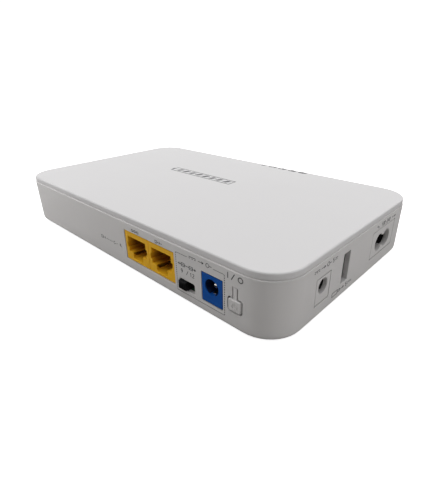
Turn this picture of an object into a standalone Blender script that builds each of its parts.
"""Backup supply for a router: a flat white case around four battery cells and a power board.

The frame: +X along the case's width, -Y out of the panel with the network sockets, +X out of the
side with the mains inlet, +Z up. The origin is on the surface that the feet stand on, under the
middle of the case.

Everything hangs from three empties. The datum "case" is at the middle of the case's underside. The
datums "front_panel" and "side_panel" are on the outer face of their wall: there x runs along the
wall, y is the depth inwards from the outer face, and z is the height above the case's underside.
"""

import math

import bmesh
import bpy
from mathutils import Vector

MM = 0.001
TINY = 0.001 * MM
THROUGH = 1.0 * MM
GAP = 0.3 * MM

# Case
CASE_WIDTH = 180.0 * MM
CASE_DEPTH = 108.0 * MM
CASE_HEIGHT = 26.2 * MM
CORNER_RADIUS = 14.0 * MM
CORNER_SEGMENTS = 10
WALL = 2.0 * MM
FLOOR = 2.0 * MM
COVER_PLATE = 1.8 * MM
SEAM_HEIGHT = 23.6 * MM
BASE_CHAMFER = 0.25 * MM
COVER_INSET = 0.3 * MM
COVER_CHAMFER = 0.1 * MM
BOTTOM_ROUND = 2.6 * MM
TOP_ROUND = 0.7 * MM
WINDOW_CORNER = 0.3 * MM
LIP_THICKNESS = 1.2 * MM
LIP_BOTTOM = 21.8 * MM
HALF_WIDTH = CASE_WIDTH / 2
HALF_DEPTH = CASE_DEPTH / 2
CEILING = CASE_HEIGHT - COVER_PLATE

# Screw pillars, feet and label
PILLAR_X = 81.0 * MM
PILLAR_Y = 45.0 * MM
PILLAR_RADIUS = 3.75 * MM
PILLAR_TOP = 12.0 * MM
PILLAR_BORE = 1.6 * MM
COUNTERBORE_RADIUS = 2.7 * MM
COUNTERBORE_DEPTH = 3.0 * MM
PILOT_TOP = 20.0 * MM
CASE_SCREW_HEAD = (2.3 * MM, 1.8 * MM)
CASE_SCREW_SHANK = (1.2 * MM, 14.0 * MM)
BOARD_SCREW_HEAD = (2.3 * MM, 1.4 * MM)
BOARD_SCREW_SHANK = (1.0 * MM, 4.0 * MM)
CROSS_REACH = 0.62
CROSS_HALF_WIDTH = 0.16
CROSS_DEPTH = 0.55
FOOT_X = 73.5 * MM
FOOT_Y = 37.5 * MM
FOOT_RADIUS = 6.0 * MM
FOOT_STAND = 1.0 * MM
FOOT_RECESS = 0.6 * MM
FOOT_CHAMFER = 0.3 * MM
LABEL_LOW = (-72.0 * MM, -21.0 * MM)
LABEL_HIGH = (-8.0 * MM, 21.0 * MM)
LABEL_THICKNESS = 0.2 * MM
LABEL_CORNER = 1.0 * MM
VENT_COUNT = 10
VENT_PITCH = 5.0 * MM
VENT_WIDTH = 2.0 * MM
VENT_LENGTH = 30.0 * MM
VENT_FIRST_X = 14.0 * MM

# Board
BOARD_LOW = (-4.0 * MM, -51.5 * MM)
BOARD_HIGH = (84.8 * MM, 50.0 * MM)
BOARD_THICKNESS = 1.6 * MM
BOARD_TOP = 5.8 * MM
BOARD_NOTCH_X = 76.8 * MM
BOARD_NOTCH_Y = 40.8 * MM
SEAT = BOARD_TOP + GAP
POSTS = (
    (1.5 * MM, -36.0 * MM),
    (1.5 * MM, 40.0 * MM),
    (66.0 * MM, 45.0 * MM),
    (70.0 * MM, -33.5 * MM),
)
POST_RADIUS = 2.8 * MM
POST_HOLE_RADIUS = 1.35 * MM
BOARD_HOLE_RADIUS = 1.5 * MM

# Parts on the board: places are in the case's plan, and heights are above SEAT
CORE_LOW = (34.0 * MM, 8.0 * MM)
CORE_HIGH = (54.0 * MM, 21.0 * MM)
CORE_TOP = 20.5 * MM
CORE_LEG = 4.0 * MM
CORE_YOKE = 3.5 * MM
WINDING_OVERHANG = 5.0 * MM
WINDING_CORNER = 2.0 * MM
CAPACITOR_START = (38.0 * MM, 38.0 * MM)
CAPACITOR_LENGTH = 22.0 * MM
CAPACITOR_RADIUS = 8.0 * MM
FUSE_START = (64.0 * MM, 12.0 * MM)
FUSE_LENGTH = 20.0 * MM
FUSE_RADIUS = 2.6 * MM
INDUCTOR_CORNER = 1.0 * MM
INDUCTOR_CHAMFER = 0.5 * MM
BLOCK_PARTS = (
    ("boost_inductor_12v", (46.0 * MM, -34.0 * MM), (56.0 * MM, -24.0 * MM), 7.0 * MM, "ferrite"),
    ("boost_inductor_poe", (33.0 * MM, -33.0 * MM), (43.0 * MM, -23.0 * MM), 6.0 * MM, "ferrite"),
    ("network_transformer", (13.0 * MM, -33.0 * MM), (30.0 * MM, -21.0 * MM), 5.6 * MM, "black_plastic"),
    ("controller_chip", (18.0 * MM, -8.0 * MM), (28.0 * MM, 2.0 * MM), 1.6 * MM, "black_plastic"),
    ("battery_header", (4.6 * MM, -4.0 * MM), (9.6 * MM, 4.0 * MM), 5.3 * MM, "white_plastic"),
)

# Network sockets, on the front panel
NETWORK_X = 26.05 * MM
NETWORK_WIDTH = 32.1 * MM
NETWORK_TOP = 19.5 * MM
NETWORK_LENGTH = 18.0 * MM
NETWORK_SETBACK = 0.25 * MM
JACK_JOINT = (0.25 * MM, 0.4 * MM)
PORT_PITCH = 16.2 * MM
PORT_DEPTH = 13.5 * MM
PORT_TOP = 17.2 * MM
PORT_WIDTH = 12.1 * MM
PORT_SHOULDER = 10.1 * MM
GUIDE_WIDTH = 13.7 * MM
GUIDE_BOTTOM = 11.9 * MM
GUIDE_TOP = 14.4 * MM
LATCH_WIDTH = 6.9 * MM
LATCH_BOTTOM = 7.3 * MM
LATCH_CHAMFER = 0.6 * MM
CATCH_WIDTH = 9.2 * MM
CATCH_FRONT = 1.9 * MM
CATCH_BOTTOM = 8.0 * MM
CATCH_TOP = 9.2 * MM
CONTACT_COUNT = 8
CONTACT_PITCH = 1.02 * MM
CONTACT_WIDTH = 0.46 * MM
CONTACT_THICKNESS = 0.36 * MM
CONTACT_DEPTH = 8.0 * MM
CONTACT_BAR = (1.2 * MM, 0.8 * MM)
CONTACT_REACH = (0.0, 4.1 * MM, -3.5 * MM)

# Switches, on the front panel
RESET_X = 5.3 * MM
RESET_Z = 10.45 * MM
RESET_HOLE_RADIUS = 0.8 * MM
SELECTOR_LEFT = 45.0 * MM
SELECTOR_RIGHT = 53.4 * MM
SELECTOR_BOTTOM = 5.8 * MM
SELECTOR_TOP = 10.3 * MM
SELECTOR_CORNER = 0.8 * MM
SELECTOR_BODY_MARGIN = 1.4 * MM
SELECTOR_BODY_END = 8.0 * MM
SELECTOR_BODY_TOP = 11.2 * MM
GROOVE_MARGIN = 0.4 * MM
GROOVE_BOTTOM = 7.4 * MM
GROOVE_TOP = 9.2 * MM
GROOVE_END = 4.8 * MM
LEVER_WIDTH = 4.0 * MM
LEVER_HEIGHT = 3.5 * MM
LEVER_Z = 8.1 * MM
LEVER_START = 0.5 * MM
LEVER_PROUD = 1.2 * MM
LEVER_CLEARANCE = 0.1 * MM
LEVER_ROUND = 0.35 * MM
STEM_WIDTH = 3.2 * MM
STEM_BOTTOM = 7.7 * MM
STEM_TOP = 8.9 * MM
STEM_END = 4.4 * MM
BUTTON_X = 72.85 * MM
BUTTON_WIDTH = 5.4 * MM
BUTTON_BOTTOM = 8.25 * MM
BUTTON_TOP = 12.9 * MM
BUTTON_PROUD = 0.5 * MM
BUTTON_BACK = 1.7 * MM
BUTTON_CORNER = 0.7 * MM
BUTTON_ROUND = 0.4 * MM
BUTTON_SLOT = 0.5 * MM
NECK_WIDTH = 1.5 * MM
NECK_TOP = 17.6 * MM
NECK_THICKNESS = 1.2 * MM
NECK_OVERLAP = 1.0 * MM
NECK_ROOT_GAP = 0.1 * MM
NECK_CORNER = 0.1 * MM
SWITCH_WIDTH = 6.0 * MM
SWITCH_LENGTH = 4.0 * MM
SWITCH_SETBACK = 1.4 * MM
SWITCH_BORE = 2.1 * MM
POWER_SWITCH_Z = 10.6 * MM
POWER_SWITCH_FRONT = 2.1 * MM
PLUNGER_RADIUS = 1.3 * MM
PLUNGER_LENGTH = 2.7 * MM

# DC sockets: the housing's edges and the bore's middle and radius, on their panel
SOCKET_12V = {
    "left": 57.3 * MM,
    "right": 67.1 * MM,
    "bottom": SEAT,
    "top": 17.6 * MM,
    "bore_x": 62.1 * MM,
    "bore_z": 12.9 * MM,
    "bore_radius": 3.25 * MM,
}
SOCKET_5V = {
    "left": -32.3 * MM,
    "right": -23.0 * MM,
    "bottom": 6.8 * MM,
    "top": 17.3 * MM,
    "bore_x": -27.9 * MM,
    "bore_z": 13.5 * MM,
    "bore_radius": 3.0 * MM,
}
SOCKET_LENGTH = 14.0 * MM
BORE_DEPTH = 10.0 * MM
PIN_SETBACK = 2.4 * MM
PIN_RADIUS = 1.05 * MM
PIN_TAIL = 0.8 * MM
SOCKET_CHAMFER = 0.15 * MM
SPRING_WIDTH = 1.5 * MM
SPRING_THICKNESS = 0.4 * MM
SPRING_PROUD = 0.15 * MM
CHANNEL_WIDTH = 2.2 * MM
CHANNEL_DROP = 0.8 * MM

# USB socket, on the side panel
USB_LEFT = -13.7 * MM
USB_RIGHT = -8.5 * MM
USB_BOTTOM = 7.3 * MM
USB_TOP = 20.0 * MM
USB_LENGTH = 14.0 * MM
USB_SHEET = 0.35 * MM
USB_CORNER = 0.4 * MM
TONGUE_SIDE = 0.8 * MM
TONGUE_THICKNESS = 1.8 * MM
TONGUE_SETBACK = 2.0 * MM
TONGUE_MARGIN = 1.0 * MM

# Mains inlet, on the side panel
INLET_LEFT = 12.0 * MM
INLET_RIGHT = 34.5 * MM
INLET_BOTTOM = 7.3 * MM
INLET_TOP = 19.2 * MM
INLET_X = 23.2 * MM
INLET_Z = 12.85 * MM
LOBE_RADIUS = 3.95 * MM
LOBE_OFFSET = 3.55 * MM
WAIST_HALF_HEIGHT = 2.5 * MM
BEZEL_LENGTH = 2.2 * MM
INLET_CAVITY = 14.0 * MM
INLET_LENGTH = 19.0 * MM
INLET_PIN_OFFSET = 4.3 * MM
INLET_PIN_RADIUS = 1.2 * MM
INLET_PIN_SETBACK = 5.0 * MM
INLET_PIN_TAIL = 1.5 * MM
BEZEL_CORNER = 0.4 * MM
CORE_SIDE_MARGIN = 1.5 * MM
CORE_TOP_MARGIN = 0.5 * MM

# Battery
CELL_COUNT = 4
CELL_RADIUS = 9.1 * MM
CELL_LENGTH = 65.0 * MM
CELL_PITCH = 19.0 * MM
CELL_FIRST_X = -76.3 * MM
CELL_Z = 12.6 * MM
CELL_BASE_ROUND = 0.5 * MM
CELL_TOP_ROUND = 0.8 * MM
TERMINAL_RADIUS = 3.0 * MM
TERMINAL_HEIGHT = 0.6 * MM
TROUGH_RADIUS = CELL_RADIUS + GAP
HOLDER_TOP = 9.0 * MM
HOLDER_WALL = 1.1 * MM
HOLDER_END = 3.3 * MM
STRIP_THICKNESS = 0.3 * MM
STRIP_BOTTOM = 9.4 * MM
STRIP_HEIGHT = 6.4 * MM
STRIP_END = 6.0 * MM
LEAD_RADIUS = 0.8 * MM
LEAD_Z = 8.8 * MM
LEAD_SPREAD = 1.25 * MM
PLUG_LOW = (-1.2 * MM, -3.4 * MM, 6.8 * MM)
PLUG_HIGH = (4.3 * MM, 3.4 * MM, 10.8 * MM)

# Indicators, in the rear wall
LED_COUNT = 5
LED_PITCH = 6.9 * MM
LED_FIRST_X = 3.5 * MM
LED_Z = 19.8 * MM
LED_LOW = (-1.0 * MM, 46.4 * MM, 0.5 * MM)
LED_HIGH = (1.0 * MM, 48.2 * MM, 1.9 * MM)
STRIP_BOARD_LOW = (-2.0 * MM, 45.2 * MM, 0.0)
STRIP_BOARD_HIGH = (2.0 * MM, 49.2 * MM, 0.8 * MM)
PIPE_RADIUS = 0.95 * MM
PIPE_BAR_LOW = (-0.5 * MM, 46.7 * MM, 13.0 * MM)
PIPE_BAR_HIGH = (0.5 * MM, 47.9 * MM, 14.6 * MM)
PIPE_LEG_LOW = (-0.9 * MM, 46.4 * MM, 8.4 * MM)
PIPE_LEG_HIGH = (0.9 * MM, 48.2 * MM, LED_Z + PIPE_RADIUS)
PIPE_TIP_START = 47.0 * MM

# Colour (linear red, green, blue), roughness and metallic value of each material
LOOKS = {
    "white_plastic": ((0.78, 0.78, 0.77), 0.38, 0.0),
    "yellow_plastic": ((0.74, 0.44, 0.05), 0.45, 0.0),
    "blue_plastic": ((0.02, 0.13, 0.45), 0.40, 0.0),
    "black_plastic": ((0.02, 0.02, 0.02), 0.50, 0.0),
    "clear_plastic": ((0.75, 0.77, 0.78), 0.15, 0.0),
    "board": ((0.02, 0.20, 0.08), 0.45, 0.0),
    "gold": ((0.83, 0.60, 0.22), 0.25, 1.0),
    "nickel": ((0.66, 0.65, 0.62), 0.28, 1.0),
    "steel": ((0.52, 0.53, 0.54), 0.32, 1.0),
    "cell_sleeve": ((0.10, 0.28, 0.55), 0.35, 0.0),
    "red_sleeve": ((0.60, 0.03, 0.03), 0.45, 0.0),
    "ferrite": ((0.08, 0.08, 0.09), 0.60, 0.0),
    "tape": ((0.75, 0.55, 0.08), 0.40, 0.0),
    "rubber": ((0.05, 0.05, 0.055), 0.80, 0.0),
    "paper": ((0.70, 0.70, 0.70), 0.55, 0.0),
    "glass": ((0.80, 0.82, 0.82), 0.10, 0.0),
}

PARTS_NAME = "router_backup_supply"
CUTTERS_NAME = "cutters"


# Scene helpers


def clear_scene():
    for obj in list(bpy.data.objects):
        bpy.data.objects.remove(obj, do_unlink=True)


def add_collection(name, hidden):
    collection = bpy.data.collections.new(name)
    bpy.context.scene.collection.children.link(collection)
    collection.hide_render = hidden
    return collection


def add_datum(name, location, turn=0.0, parent=None):
    """An empty that pieces are placed from; turn is its rotation about Z in radians."""
    datum = bpy.data.objects.new(name, None)
    datum.location = location
    datum.rotation_euler.z = turn
    datum.parent = parent
    bpy.data.collections[PARTS_NAME].objects.link(datum)
    return datum


def add_material(name, look):
    colour, roughness, metallic = LOOKS[look]
    material = bpy.data.materials.new(name)
    material.use_nodes = True
    shader = material.node_tree.nodes["Principled BSDF"]
    shader.inputs["Base Color"].default_value = (*colour, 1.0)
    shader.inputs["Roughness"].default_value = roughness
    shader.inputs["Metallic"].default_value = metallic
    return material


def add_object(name, data, look, parent, location):
    """Adds a part, or a hidden cutter when look is None."""
    obj = bpy.data.objects.new(name, data)
    obj.parent = parent
    obj.location = location
    if look is None:
        obj.hide_render = True
        obj.display_type = "WIRE"
        bpy.data.collections[CUTTERS_NAME].objects.link(obj)
    else:
        data.materials.append(add_material(name, look))
        bpy.data.collections[PARTS_NAME].objects.link(obj)
    return obj


def mesh_from(name, bm):
    mesh = bpy.data.meshes.new(name)
    bmesh.ops.recalc_face_normals(bm, faces=bm.faces)
    bm.to_mesh(mesh)
    bm.free()
    return mesh


# Shapes


def along(axis):
    """Picks a box's edges that run parallel to one axis."""

    def picks(edge, _half):
        run = edge.verts[1].co - edge.verts[0].co
        return abs(run[axis]) > run.length - TINY

    return picks


def around(axis, side):
    """Picks the edges around a box's face at the low (-1) or high (+1) end of one axis."""

    def picks(edge, half):
        return all(abs(vert.co[axis] - side * half[axis]) < TINY for vert in edge.verts)

    return picks


def block(name, low, high, look, parent, rounds=()):
    """A box between two corners. Each of rounds is (edge picker, radius, segments)."""
    low = Vector(low)
    high = Vector(high)
    bm = bmesh.new()
    bmesh.ops.create_cube(bm, size=1.0)
    bmesh.ops.scale(bm, vec=high - low, verts=bm.verts)
    for picks, radius, segments in rounds:
        edges = [edge for edge in bm.edges if picks(edge, (high - low) / 2)]
        made = bmesh.ops.bevel(
            bm, geom=edges, offset=radius, segments=segments, profile=0.5, affect="EDGES"
        )
        for face in made["faces"]:
            face.smooth = segments > 1
    return add_object(name, mesh_from(name, bm), look, parent, (low + high) / 2)


def rod(name, start, end, radius, look, parent, sides=24):
    """A round bar from one point to another."""
    start = Vector(start)
    end = Vector(end)
    run = end - start
    bm = bmesh.new()
    bmesh.ops.create_cone(
        bm, cap_ends=True, segments=sides, radius1=radius, radius2=radius, depth=run.length
    )
    for face in bm.faces:
        face.smooth = len(face.verts) == 4
    obj = add_object(name, mesh_from(name, bm), look, parent, (start + end) / 2)
    obj.rotation_euler = run.to_track_quat("Z", "Y").to_euler()
    return obj


def turned(name, profile, look, parent, location, steps=24):
    """A turned piece: profile lists (radius, height) from top to bottom, ending on the axis."""
    bm = bmesh.new()
    verts = [bm.verts.new((radius, 0.0, height)) for radius, height in profile]
    for first, second in zip(verts, verts[1:]):
        bm.edges.new((first, second))
    mesh = bpy.data.meshes.new(name)
    bm.to_mesh(mesh)
    bm.free()
    obj = add_object(name, mesh, look, parent, location)
    screw = obj.modifiers.new("turn", "SCREW")
    screw.steps = steps
    screw.render_steps = steps
    screw.use_merge_vertices = True
    screw.merge_threshold = TINY
    screw.use_smooth_shade = False
    return obj


def smooth_route(points, steps):
    """Points on a smooth curve through the given ones (Catmull-Rom)."""
    knots = [Vector(point) for point in points]
    knots = [2 * knots[0] - knots[1], *knots, 2 * knots[-1] - knots[-2]]
    route = []
    for p0, p1, p2, p3 in zip(knots, knots[1:], knots[2:], knots[3:]):
        for step in range(steps):
            t = step / steps
            bend = (2 * p0 - 5 * p1 + 4 * p2 - p3) * t * t
            twist = (3 * p1 - p0 - 3 * p2 + p3) * t * t * t
            route.append((2 * p1 + (p2 - p0) * t + bend + twist) / 2)
    return [*route, knots[-2]]


def lead(name, points, radius, look, parent):
    """A round wire along a smooth route."""
    route = smooth_route(points, 4)
    curve = bpy.data.curves.new(name, "CURVE")
    curve.dimensions = "3D"
    curve.bevel_depth = radius
    curve.bevel_resolution = 2
    curve.use_fill_caps = True
    spline = curve.splines.new("POLY")
    spline.points.add(len(route) - 1)
    for point, place in zip(spline.points, route):
        point.co = (*place, 1.0)
    return add_object(name, curve, look, parent, (0.0, 0.0, 0.0))


def combine(target, others, operation):
    for other in others:
        modifier = target.modifiers.new(other.name, "BOOLEAN")
        modifier.operation = operation
        modifier.solver = "EXACT"
        modifier.object = other


def cut(target, *cutters):
    combine(target, cutters, "DIFFERENCE")


def join(target, *others):
    combine(target, others, "UNION")


def repeat(obj, count, step):
    """Copies a helper along a straight line."""
    array = obj.modifiers.new("repeat", "ARRAY")
    array.count = count
    array.use_relative_offset = False
    array.use_constant_offset = True
    array.constant_offset_displace = step


def to_four_corners(obj, middle):
    """Mirrors a helper across the case's two middle planes."""
    mirror = obj.modifiers.new("corners", "MIRROR")
    mirror.use_axis = (True, True, False)
    mirror.use_mirror_merge = False
    mirror.mirror_object = middle


def four_corners(x, y):
    return [(sx * x, sy * y) for sx in (-1, 1) for sy in (-1, 1)]


# Case


def case_block(name, inset, bottom, top, look, case, rounds=()):
    """A box with the case's plan outline, moved inwards by inset."""
    half_x = HALF_WIDTH - inset
    half_y = HALF_DEPTH - inset
    corners = (along(2), CORNER_RADIUS - inset, CORNER_SEGMENTS)
    low = (-half_x, -half_y, bottom)
    high = (half_x, half_y, top)
    return block(name, low, high, look, case, (corners, *rounds))


def window(name, panel, left, right, bottom, top, corner=WINDOW_CORNER):
    """A cutter that takes a rounded window out of a panel's wall."""
    low = (left, -THROUGH, bottom)
    high = (right, WALL + GAP, top)
    return block(name, low, high, None, panel, ((along(1), corner, 3),))


def front_windows(front):
    network_half = NETWORK_WIDTH / 2 + GAP
    button_half = BUTTON_WIDTH / 2 + BUTTON_SLOT
    neck_half = NECK_WIDTH / 2 + BUTTON_SLOT
    reset = (RESET_X, -THROUGH, RESET_Z)
    reset_end = (RESET_X, WALL + GAP, RESET_Z)
    return (
        window(
            "network_window",
            front,
            NETWORK_X - network_half,
            NETWORK_X + network_half,
            SEAT - GAP,
            NETWORK_TOP + GAP,
        ),
        socket_window("socket_12v_window", front, SOCKET_12V),
        window(
            "selector_window",
            front,
            SELECTOR_LEFT,
            SELECTOR_RIGHT,
            SELECTOR_BOTTOM,
            SELECTOR_TOP,
            SELECTOR_CORNER,
        ),
        window(
            "button_window",
            front,
            BUTTON_X - button_half,
            BUTTON_X + button_half,
            BUTTON_BOTTOM - BUTTON_SLOT,
            BUTTON_TOP + BUTTON_SLOT,
            BUTTON_CORNER,
        ),
        window(
            "neck_window",
            front,
            BUTTON_X - neck_half,
            BUTTON_X + neck_half,
            BUTTON_TOP,
            NECK_TOP,
            NECK_CORNER,
        ),
        rod("reset_window", reset, reset_end, RESET_HOLE_RADIUS, None, front, 16),
    )


def socket_window(name, panel, socket):
    return window(
        name,
        panel,
        socket["left"] - GAP,
        socket["right"] + GAP,
        socket["bottom"] - GAP,
        socket["top"] + GAP,
    )


def side_windows(side):
    return (
        socket_window("socket_5v_window", side, SOCKET_5V),
        window("usb_window", side, USB_LEFT, USB_RIGHT, USB_BOTTOM, USB_TOP),
        window(
            "inlet_window",
            side,
            INLET_LEFT - GAP,
            INLET_RIGHT + GAP,
            INLET_BOTTOM - GAP,
            INLET_TOP + GAP,
        ),
    )


def led_windows(case):
    start = (LED_FIRST_X, HALF_DEPTH - WALL - GAP, LED_Z)
    end = (LED_FIRST_X, HALF_DEPTH + THROUGH, LED_Z)
    cutter = rod("led_windows", start, end, PIPE_RADIUS + GAP, None, case, 16)
    turn = cutter.rotation_euler.to_matrix().inverted()
    repeat(cutter, LED_COUNT, turn @ Vector((LED_PITCH, 0.0, 0.0)))
    return cutter


def pillar_cutters(case):
    place = (PILLAR_X, PILLAR_Y)
    bore = rod(
        "pillar_bore", (*place, -THROUGH), (*place, PILLAR_TOP + THROUGH), PILLAR_BORE, None, case, 16
    )
    head = rod(
        "pillar_counterbore",
        (*place, -THROUGH),
        (*place, COUNTERBORE_DEPTH),
        COUNTERBORE_RADIUS,
        None,
        case,
    )
    foot = rod(
        "foot_recess",
        (FOOT_X, FOOT_Y, -THROUGH),
        (FOOT_X, FOOT_Y, FOOT_RECESS),
        FOOT_RADIUS + GAP,
        None,
        case,
        32,
    )
    for cutter in (bore, head, foot):
        to_four_corners(cutter, case)
    return bore, head, foot


def underside_cutters(case):
    first = (VENT_FIRST_X - VENT_WIDTH / 2, -VENT_LENGTH / 2, -THROUGH)
    last = (VENT_FIRST_X + VENT_WIDTH / 2, VENT_LENGTH / 2, FLOOR + THROUGH)
    ends = (along(2), 0.98 * VENT_WIDTH / 2, 3)
    vents = block("vent_slots", first, last, None, case, (ends,))
    repeat(vents, VENT_COUNT, (VENT_PITCH, 0.0, 0.0))
    low = (LABEL_LOW[0] - GAP, LABEL_LOW[1] - GAP, -THROUGH)
    high = (LABEL_HIGH[0] + GAP, LABEL_HIGH[1] + GAP, FOOT_RECESS)
    label = block("label_recess", low, high, None, case, ((along(2), LABEL_CORNER + GAP, 3),))
    return vents, label


def base_case(case, front, side):
    rounds = (
        (around(2, -1), BOTTOM_ROUND, 4),
        (around(2, 1), BASE_CHAMFER, 1),
    )
    top = SEAM_HEIGHT - GAP / 2
    base = case_block("base_case", 0.0, 0.0, top, "white_plastic", case, rounds)
    cut(base, case_block("base_hollow", WALL, FLOOR, CASE_HEIGHT, None, case))
    pillar = rod(
        "base_pillar",
        (PILLAR_X, PILLAR_Y, FLOOR / 2),
        (PILLAR_X, PILLAR_Y, PILLAR_TOP),
        PILLAR_RADIUS,
        None,
        case,
    )
    to_four_corners(pillar, case)
    join(base, pillar)
    post_top = BOARD_TOP - BOARD_THICKNESS - GAP
    for number, place in enumerate(POSTS, 1):
        post = rod(
            f"post_{number}", (*place, FLOOR / 2), (*place, post_top), POST_RADIUS, None, case, 16
        )
        join(base, post)
    for number, place in enumerate(POSTS, 1):
        low = (*place, 0.8 * FLOOR)
        high = (*place, CASE_HEIGHT)
        hole = rod(f"post_hole_{number}", low, high, POST_HOLE_RADIUS, None, case, 12)
        cut(base, hole)
    cut(base, *pillar_cutters(case), *underside_cutters(case))
    cut(base, *front_windows(front), *side_windows(side), led_windows(case))


def top_cover(case):
    """A lid set in a little from the base's walls, with a lip and four screw pillars inside."""
    rounds = (
        (around(2, 1), TOP_ROUND, 4),
        (around(2, -1), COVER_CHAMFER, 1),
    )
    bottom = SEAM_HEIGHT + GAP / 2
    cover = case_block("top_cover", COVER_INSET, bottom, CASE_HEIGHT, "white_plastic", case, rounds)
    cut(cover, case_block("cover_hollow", WALL, bottom - THROUGH, CEILING, None, case))
    lip_inset = WALL + GAP
    lip = case_block("cover_lip", lip_inset, LIP_BOTTOM, CEILING + THROUGH, None, case)
    inner = case_block(
        "lip_hollow", lip_inset + LIP_THICKNESS, LIP_BOTTOM - THROUGH, CASE_HEIGHT, None, case
    )
    cut(lip, inner)
    join(cover, lip)
    place = (PILLAR_X, PILLAR_Y)
    pillar_bottom = PILLAR_TOP + GAP
    pillar = rod(
        "cover_pillar", (*place, pillar_bottom), (*place, CEILING + THROUGH), PILLAR_RADIUS, None, case
    )
    pilot = rod(
        "cover_pilot",
        (*place, pillar_bottom - THROUGH),
        (*place, PILOT_TOP),
        PILLAR_BORE,
        None,
        case,
        16,
    )
    to_four_corners(pillar, case)
    to_four_corners(pilot, case)
    join(cover, pillar)
    cut(cover, pilot)


def screw(name, place, head_bottom, head, shank, up, case):
    """A cross-head screw; head and shank are (radius, length), up is +1 when its tip is on top."""
    head_radius, head_length = head
    shank_radius, shank_length = shank
    profile = [
        (0.0, head_length + shank_length),
        (0.6 * shank_radius, head_length + shank_length),
        (shank_radius, head_length + shank_length - shank_radius),
        (shank_radius, head_length),
        (head_radius, head_length),
        (head_radius, 0.35 * head_length),
        (0.7 * head_radius, 0.0),
        (0.0, 0.0),
    ]
    obj = turned(name, profile, "steel", case, (*place, head_bottom), 16)
    half_long = CROSS_REACH * head_radius
    half_wide = CROSS_HALF_WIDTH * head_radius
    deep = CROSS_DEPTH * head_length
    for label, half_x, half_y in (("a", half_long, half_wide), ("b", half_wide, half_long)):
        low = (-half_x, -half_y, -THROUGH)
        cutter = block(f"{name}_cross_{label}", low, (half_x, half_y, deep), None, obj)
        cut(obj, cutter)
    if up < 0:
        obj.rotation_euler.x = math.pi
    return obj


def fasteners(case):
    case_height = COUNTERBORE_DEPTH - GAP - CASE_SCREW_HEAD[1]
    for number, place in enumerate(four_corners(PILLAR_X, PILLAR_Y), 1):
        name = f"case_screw_{number}"
        screw(name, place, case_height, CASE_SCREW_HEAD, CASE_SCREW_SHANK, 1, case)
    board_height = SEAT + BOARD_SCREW_HEAD[1]
    for number, place in enumerate(POSTS, 1):
        name = f"board_screw_{number}"
        screw(name, place, board_height, BOARD_SCREW_HEAD, BOARD_SCREW_SHANK, -1, case)


def feet_and_label(case):
    for number, (x, y) in enumerate(four_corners(FOOT_X, FOOT_Y), 1):
        profile = [
            (0.0, FOOT_RECESS - GAP),
            (FOOT_RADIUS, FOOT_RECESS - GAP),
            (FOOT_RADIUS, FOOT_CHAMFER - FOOT_STAND),
            (FOOT_RADIUS - FOOT_CHAMFER, -FOOT_STAND),
            (0.0, -FOOT_STAND),
        ]
        turned(f"rubber_foot_{number}", profile, "rubber", case, (x, y, 0.0), 32)
    bottom = FOOT_RECESS - GAP - LABEL_THICKNESS
    low = (*LABEL_LOW, bottom)
    high = (*LABEL_HIGH, bottom + LABEL_THICKNESS)
    block("rating_label", low, high, "paper", case, ((along(2), LABEL_CORNER, 3),))


# Board and what stands on it


def main_board(case):
    bottom = BOARD_TOP - BOARD_THICKNESS
    board = block("main_board", (*BOARD_LOW, bottom), (*BOARD_HIGH, BOARD_TOP), "board", case)
    far = CASE_WIDTH
    for name, near_y, far_y in (
        ("front", -HALF_DEPTH, -BOARD_NOTCH_Y),
        ("rear", BOARD_NOTCH_Y, HALF_DEPTH),
    ):
        low = (BOARD_NOTCH_X, near_y, 0.0)
        cut(board, block(f"board_notch_{name}", low, (far, far_y, CASE_HEIGHT), None, case))
    for number, place in enumerate(POSTS, 1):
        low = (*place, 0.0)
        high = (*place, CASE_HEIGHT)
        cut(board, rod(f"board_hole_{number}", low, high, BOARD_HOLE_RADIUS, None, case, 12))


def transformer(case):
    """A ferrite frame around a taped winding that stands out of its window at both ends."""
    core_low = (*CORE_LOW, SEAT)
    core_high = (*CORE_HIGH, CORE_TOP)
    core = block("transformer_core", core_low, core_high, "ferrite", case)
    left = CORE_LOW[0] + CORE_LEG
    right = CORE_HIGH[0] - CORE_LEG
    bottom = SEAT + CORE_YOKE
    top = CORE_TOP - CORE_YOKE
    front = CORE_LOW[1] - WINDING_OVERHANG
    rear = CORE_HIGH[1] + WINDING_OVERHANG
    window_low = (left, front - THROUGH, bottom)
    window_high = (right, rear + THROUGH, top)
    cut(core, block("core_window", window_low, window_high, None, case))
    block(
        "transformer_winding",
        (left + GAP, front, bottom + GAP),
        (right - GAP, rear, top - GAP),
        "tape",
        case,
        ((along(1), WINDING_CORNER, 3),),
    )


def board_parts(case):
    x, y = CAPACITOR_START
    start = Vector((x, y, SEAT + CAPACITOR_RADIUS))
    end = start + Vector((CAPACITOR_LENGTH, 0.0, 0.0))
    rod("reservoir_capacitor", start, end, CAPACITOR_RADIUS, "black_plastic", case, 28)
    x, y = FUSE_START
    start = Vector((x, y, SEAT + FUSE_RADIUS))
    end = start + Vector((0.0, FUSE_LENGTH, 0.0))
    rod("mains_fuse", start, end, FUSE_RADIUS, "glass", case, 16)
    soft = ((along(2), INDUCTOR_CORNER, 3), (around(2, 1), INDUCTOR_CHAMFER, 1))
    for name, low, high, height, look in BLOCK_PARTS:
        rounds = soft if look == "ferrite" else ()
        block(name, (*low, SEAT), (*high, SEAT + height), look, case, rounds)


# Front panel


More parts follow.
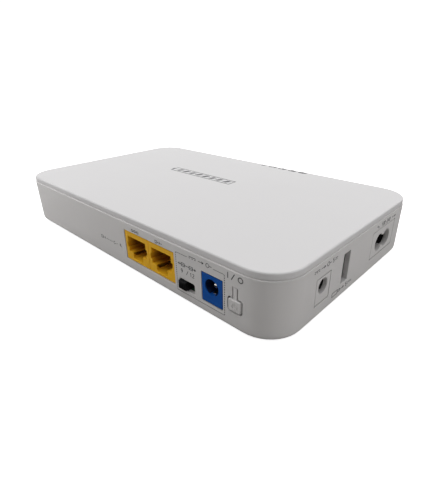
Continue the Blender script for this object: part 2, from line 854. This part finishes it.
def network_jack(front):
    """Two ports in one housing; behind its front, each latch channel widens for the plug's catch."""
    half = NETWORK_WIDTH / 2
    latch_rounds = ((along(1), LATCH_CHAMFER, 1),)
    low = (NETWORK_X - half, NETWORK_SETBACK, SEAT)
    high = (NETWORK_X + half, NETWORK_LENGTH, NETWORK_TOP)
    housing = block("network_jack_housing", low, high, "yellow_plastic", front)
    for name, x in (("lan", NETWORK_X - PORT_PITCH / 2), ("poe", NETWORK_X + PORT_PITCH / 2)):
        shapes = (
            ("plug", PORT_WIDTH, PORT_SHOULDER, PORT_TOP, -THROUGH, ()),
            ("guide", GUIDE_WIDTH, GUIDE_BOTTOM, GUIDE_TOP, -THROUGH, ()),
            ("latch", LATCH_WIDTH, LATCH_BOTTOM, GUIDE_TOP, -THROUGH, latch_rounds),
            ("catch", CATCH_WIDTH, CATCH_BOTTOM, CATCH_TOP, CATCH_FRONT, ()),
        )
        for label, width, bottom, top, start, rounds in shapes:
            low = (x - width / 2, start, bottom)
            high = (x + width / 2, PORT_DEPTH, top)
            cut(housing, block(f"{name}_{label}", low, high, None, front, rounds))
        port_contacts(name, x, front)
    joint_width, joint_depth = JACK_JOINT
    low = (NETWORK_X - joint_width / 2, -THROUGH, SEAT - THROUGH)
    high = (NETWORK_X + joint_width / 2, NETWORK_SETBACK + joint_depth, NETWORK_TOP + THROUGH)
    cut(housing, block("jack_joint", low, high, None, front))


def port_contacts(name, x, front):
    """Eight spring wires that slope down and back from a bar under the port's ceiling."""
    run = (CONTACT_COUNT - 1) * CONTACT_PITCH
    bar_half = run / 2 + CONTACT_PITCH
    bar_depth, bar_height = CONTACT_BAR
    bar_top = PORT_TOP - GAP
    bar = block(
        f"{name}_contacts",
        (x - bar_half, CONTACT_DEPTH, bar_top - bar_height),
        (x + bar_half, CONTACT_DEPTH + bar_depth, bar_top),
        "gold",
        front,
    )
    start = Vector((x - run / 2, CONTACT_DEPTH + bar_depth / 2, bar_top - bar_height / 2))
    reach = Vector(CONTACT_REACH)
    half = Vector((CONTACT_WIDTH / 2, reach.length / 2, CONTACT_THICKNESS / 2))
    wires = block(f"{name}_contact_wires", -half, half, None, front)
    wires.location = start + reach / 2
    wires.rotation_euler.x = math.atan2(reach.z, reach.y)
    repeat(wires, CONTACT_COUNT, (CONTACT_PITCH, 0.0, 0.0))
    join(bar, wires)


def push_switch(name, x, z, plunger_front, panel):
    """A small push switch lying on the board: its body, and a round plunger towards the wall."""
    half = SWITCH_WIDTH / 2
    body_front = plunger_front + SWITCH_SETBACK
    body = block(
        f"{name}_switch_body",
        (x - half, body_front, SEAT),
        (x + half, body_front + SWITCH_LENGTH, z + half),
        "black_plastic",
        panel,
    )
    bore_end = (x, body_front + SWITCH_BORE, z)
    bore_start = (x, body_front - THROUGH, z)
    bore_radius = PLUNGER_RADIUS + GAP
    cut(body, rod(f"{name}_switch_bore", bore_start, bore_end, bore_radius, None, panel, 16))
    plunger_end = (x, plunger_front + PLUNGER_LENGTH, z)
    rod(
        f"{name}_plunger", (x, plunger_front, z), plunger_end, PLUNGER_RADIUS, "steel", panel, 16
    )


def selector(front):
    body = block(
        "selector_switch_body",
        (SELECTOR_LEFT - SELECTOR_BODY_MARGIN, WALL + GAP, SEAT),
        (SELECTOR_RIGHT + SELECTOR_BODY_MARGIN, SELECTOR_BODY_END, SELECTOR_BODY_TOP),
        "black_plastic",
        front,
    )
    groove = block(
        "selector_groove",
        (SELECTOR_LEFT - GROOVE_MARGIN, 0.0, GROOVE_BOTTOM),
        (SELECTOR_RIGHT + GROOVE_MARGIN, GROOVE_END, GROOVE_TOP),
        None,
        front,
    )
    cut(body, groove)
    left = SELECTOR_LEFT + LEVER_START
    middle = left + LEVER_WIDTH / 2
    half_height = LEVER_HEIGHT / 2
    cap = block(
        "selector_lever",
        (left, -LEVER_PROUD, LEVER_Z - half_height),
        (left + LEVER_WIDTH, WALL - LEVER_CLEARANCE, LEVER_Z + half_height),
        "black_plastic",
        front,
        ((around(1, -1), LEVER_ROUND, 2),),
    )
    low = Vector((middle - STEM_WIDTH / 2, WALL - LEVER_CLEARANCE - GAP, STEM_BOTTOM))
    high = Vector((middle + STEM_WIDTH / 2, STEM_END, STEM_TOP))
    join(cap, block("lever_stem", low, high, None, front))


def power_button(front):
    """The tongue in the front wall; its origin is on the line at the neck's root that it bends about."""
    root = (BUTTON_X, NECK_THICKNESS / 2, NECK_TOP - NECK_ROOT_GAP)
    hinge = add_datum("button_hinge", root, parent=front)
    pad_low = Vector((BUTTON_X - BUTTON_WIDTH / 2, -BUTTON_PROUD, BUTTON_BOTTOM))
    pad_high = Vector((BUTTON_X + BUTTON_WIDTH / 2, BUTTON_BACK, BUTTON_TOP))
    origin = Vector(root)
    rounds = ((along(1), BUTTON_CORNER, 3), (around(1, -1), BUTTON_ROUND, 3))
    pad = block(
        "power_button", pad_low - origin, pad_high - origin, "white_plastic", hinge, rounds
    )
    move_origin_to_parent(pad)
    neck_low = Vector((BUTTON_X - NECK_WIDTH / 2, 0.0, BUTTON_TOP - NECK_OVERLAP))
    neck_high = Vector((BUTTON_X + NECK_WIDTH / 2, NECK_THICKNESS, root[2]))
    neck = block("button_neck", neck_low - origin, neck_high - origin, None, hinge)
    join(pad, neck)


def move_origin_to_parent(obj):
    """Shifts the mesh so that the object's origin lies on its parent."""
    for vert in obj.data.vertices:
        vert.co += obj.location
    obj.location = (0.0, 0.0, 0.0)


def dc_socket(name, look, socket, panel):
    """A barrel socket: housing, centre pin, and a spring strip along the bottom of the bore."""
    x = socket["bore_x"]
    z = socket["bore_z"]
    bore_radius = socket["bore_radius"]
    housing = block(
        f"{name}_housing",
        (socket["left"], 0.0, socket["bottom"]),
        (socket["right"], SOCKET_LENGTH, socket["top"]),
        look,
        panel,
        ((around(1, -1), SOCKET_CHAMFER, 1),),
    )
    bore = rod(f"{name}_bore", (x, -THROUGH, z), (x, BORE_DEPTH, z), bore_radius, None, panel, 32)
    pin_hole_end = (x, SOCKET_LENGTH + THROUGH, z)
    pin_hole = rod(
        f"{name}_pin_hole", (x, 0.0, z), pin_hole_end, PIN_RADIUS + GAP, None, panel, 12
    )
    strip_top = z - bore_radius + SPRING_PROUD
    channel = block(
        f"{name}_channel",
        (x - CHANNEL_WIDTH / 2, PIN_SETBACK - GAP, strip_top - CHANNEL_DROP),
        (x + CHANNEL_WIDTH / 2, BORE_DEPTH, z - bore_radius / 2),
        None,
        panel,
    )
    cut(housing, bore, pin_hole, channel)
    rod(
        f"{name}_pin",
        (x, PIN_SETBACK, z),
        (x, SOCKET_LENGTH + PIN_TAIL, z),
        PIN_RADIUS,
        "nickel",
        panel,
        12,
    )
    block(
        f"{name}_spring",
        (x - SPRING_WIDTH / 2, PIN_SETBACK, strip_top - SPRING_THICKNESS),
        (x + SPRING_WIDTH / 2, BORE_DEPTH - GAP, strip_top),
        "nickel",
        panel,
    )


# Side panel


def usb_socket(side):
    start = WALL + GAP
    end = start + USB_LENGTH
    low = (USB_LEFT - GAP, start, USB_BOTTOM - GAP)
    high = (USB_RIGHT + GAP, end, USB_TOP + GAP)
    shell = block("usb_shell", low, high, "steel", side, ((along(1), USB_CORNER, 2),))
    hollow = block(
        "usb_hollow",
        (low[0] + USB_SHEET, start - THROUGH, low[2] + USB_SHEET),
        (high[0] - USB_SHEET, end - USB_SHEET, high[2] - USB_SHEET),
        None,
        side,
    )
    cut(shell, hollow)
    left = USB_LEFT + TONGUE_SIDE
    block(
        "usb_tongue",
        (left, start + TONGUE_SETBACK, USB_BOTTOM + TONGUE_MARGIN),
        (left + TONGUE_THICKNESS, end - USB_SHEET - GAP, USB_TOP - TONGUE_MARGIN),
        "black_plastic",
        side,
    )


def figure_eight(name, start, end, side):
    """Two round lobes and the waist between them, for cutting the inlet's opening."""
    left = INLET_X - LOBE_OFFSET
    right = INLET_X + LOBE_OFFSET
    lobes = [
        rod(f"{name}_lobe_{n}", (x, start, INLET_Z), (x, end, INLET_Z), LOBE_RADIUS, None, side, 28)
        for n, x in enumerate((left, right), 1)
    ]
    waist = block(
        f"{name}_waist",
        (left, start, INLET_Z - WAIST_HALF_HEIGHT),
        (right, end, INLET_Z + WAIST_HALF_HEIGHT),
        None,
        side,
    )
    return (*lobes, waist)


def mains_inlet(side):
    bezel = block(
        "mains_inlet_bezel",
        (INLET_LEFT, 0.0, INLET_BOTTOM),
        (INLET_RIGHT, BEZEL_LENGTH, INLET_TOP),
        "white_plastic",
        side,
        ((along(1), BEZEL_CORNER, 2), (around(1, -1), SOCKET_CHAMFER, 1)),
    )
    cut(bezel, *figure_eight("bezel", -THROUGH, BEZEL_LENGTH + THROUGH, side))
    core = block(
        "mains_inlet_core",
        (INLET_LEFT + CORE_SIDE_MARGIN, BEZEL_LENGTH + GAP, SEAT),
        (INLET_RIGHT - CORE_SIDE_MARGIN, INLET_LENGTH, INLET_TOP - CORE_TOP_MARGIN),
        "black_plastic",
        side,
    )
    cut(core, *figure_eight("core", BEZEL_LENGTH, INLET_CAVITY, side))
    for number, offset in enumerate((-INLET_PIN_OFFSET, INLET_PIN_OFFSET), 1):
        x = INLET_X + offset
        start = (x, INLET_CAVITY - THROUGH, INLET_Z)
        end = (x, INLET_LENGTH + THROUGH, INLET_Z)
        hole_radius = INLET_PIN_RADIUS + GAP
        cut(core, rod(f"inlet_pin_hole_{number}", start, end, hole_radius, None, side, 16))
        rod(
            f"mains_inlet_pin_{number}",
            (x, INLET_PIN_SETBACK, INLET_Z),
            (x, INLET_LENGTH + INLET_PIN_TAIL, INLET_Z),
            INLET_PIN_RADIUS,
            "nickel",
            side,
            16,
        )


# Battery


def battery(case):
    half = CELL_LENGTH / 2
    profile = [
        (0.0, half + TERMINAL_HEIGHT),
        (TERMINAL_RADIUS, half + TERMINAL_HEIGHT),
        (TERMINAL_RADIUS, half),
        (CELL_RADIUS - CELL_TOP_ROUND, half),
        (CELL_RADIUS, half - CELL_TOP_ROUND),
        (CELL_RADIUS, CELL_BASE_ROUND - half),
        (CELL_RADIUS - CELL_BASE_ROUND, -half),
        (0.0, -half),
    ]
    end = half + TERMINAL_HEIGHT + STRIP_THICKNESS + 2 * GAP
    first = CELL_FIRST_X
    last = CELL_FIRST_X + (CELL_COUNT - 1) * CELL_PITCH
    holder = block(
        "battery_holder",
        (first - TROUGH_RADIUS - HOLDER_WALL, -end - HOLDER_END, FLOOR + GAP),
        (last + TROUGH_RADIUS + HOLDER_WALL, end + HOLDER_END, HOLDER_TOP),
        "black_plastic",
        case,
    )
    for number in range(CELL_COUNT):
        x = first + number * CELL_PITCH
        cell = turned(
            f"battery_cell_{number + 1}", profile, "cell_sleeve", case, (x, 0.0, CELL_Z), 28
        )
        cell.rotation_euler.x = -math.pi / 2
        start = (x, -end, CELL_Z)
        trough = rod(
            f"trough_{number + 1}", start, (x, end, CELL_Z), TROUGH_RADIUS, None, case, 28
        )
        cut(holder, trough)
    rear = half + TERMINAL_HEIGHT + GAP
    front = -half - GAP - STRIP_THICKNESS
    for name, y in (("front", front), ("rear", rear)):
        low = (first - STRIP_END, y, STRIP_BOTTOM)
        high = (last + STRIP_END, y + STRIP_THICKNESS, STRIP_BOTTOM + STRIP_HEIGHT)
        block(f"nickel_strip_{name}", low, high, "nickel", case)


def battery_leads(case):
    """The plug at the board's edge, and two leads that run to it over the gap beside the cells."""
    block("battery_plug", PLUG_LOW, PLUG_HIGH, "white_plastic", case)
    strip_face = CELL_LENGTH / 2 + TERMINAL_HEIGHT + GAP + STRIP_THICKNESS
    start_y = strip_face + GAP + LEAD_RADIUS
    for name, look, sign in (("red", "red_sleeve", 1), ("black", "black_plastic", -1)):
        route = [
            (-17.0 * MM, sign * start_y, CELL_Z),
            (-10.5 * MM, sign * start_y, CELL_Z),
            (-7.2 * MM, sign * 31.5 * MM, 12.2 * MM),
            (-6.9 * MM, sign * 20.0 * MM, 11.0 * MM),
            (-6.6 * MM, sign * 8.0 * MM, 9.6 * MM),
            (-4.4 * MM, sign * 2.6 * MM, LEAD_Z),
            (PLUG_LOW[0] - GAP, sign * LEAD_SPREAD, LEAD_Z),
        ]
        lead(f"battery_lead_{name}", route, LEAD_RADIUS, look, case)


# Indicators


def indicators(case):
    """Five lights on a strip of board, and the clear piece that leads them to the rear wall."""
    first = Vector((LED_FIRST_X, 0.0, 0.0))
    last = first + Vector(((LED_COUNT - 1) * LED_PITCH, 0.0, 0.0))
    step = Vector((LED_PITCH, 0.0, 0.0))
    seat = Vector((0.0, 0.0, SEAT))
    low = first + seat + Vector(STRIP_BOARD_LOW)
    high = last + seat + Vector(STRIP_BOARD_HIGH)
    strip = block("indicator_strip", low, high, "board", case)
    low = first + seat + Vector(LED_LOW)
    high = first + seat + Vector(LED_HIGH)
    led = block("indicator_led", low, high, None, case)
    repeat(led, LED_COUNT, step)
    join(strip, led)
    low = first + Vector(PIPE_BAR_LOW)
    high = last + Vector(PIPE_BAR_HIGH)
    pipe = block("light_pipe", low, high, "clear_plastic", case)
    low = first + Vector(PIPE_LEG_LOW)
    high = first + Vector(PIPE_LEG_HIGH)
    leg = block("pipe_leg", low, high, None, case)
    repeat(leg, LED_COUNT, step)
    start = (LED_FIRST_X, PIPE_TIP_START, LED_Z)
    tip = rod("pipe_tip", start, (LED_FIRST_X, HALF_DEPTH, LED_Z), PIPE_RADIUS, None, case, 16)
    turn = tip.rotation_euler.to_matrix().inverted()
    repeat(tip, LED_COUNT, turn @ step)
    join(pipe, leg, tip)


def main():
    clear_scene()
    add_collection(PARTS_NAME, hidden=False)
    add_collection(CUTTERS_NAME, hidden=True)
    case = add_datum("case", (0.0, 0.0, FOOT_STAND))
    front = add_datum("front_panel", (0.0, -HALF_DEPTH, 0.0), parent=case)
    side = add_datum("side_panel", (HALF_WIDTH, 0.0, 0.0), math.pi / 2, case)

    base_case(case, front, side)
    top_cover(case)
    fasteners(case)
    feet_and_label(case)

    main_board(case)
    transformer(case)
    board_parts(case)
    indicators(case)
    battery(case)
    battery_leads(case)

    network_jack(front)
    push_switch("reset", RESET_X, RESET_Z, WALL + GAP, front)
    push_switch("power", BUTTON_X, POWER_SWITCH_Z, POWER_SWITCH_FRONT, front)
    selector(front)
    power_button(front)
    dc_socket("dc_jack_12v", "blue_plastic", SOCKET_12V, front)

    dc_socket("dc_jack_5v", "white_plastic", SOCKET_5V, side)
    usb_socket(side)
    mains_inlet(side)


main()
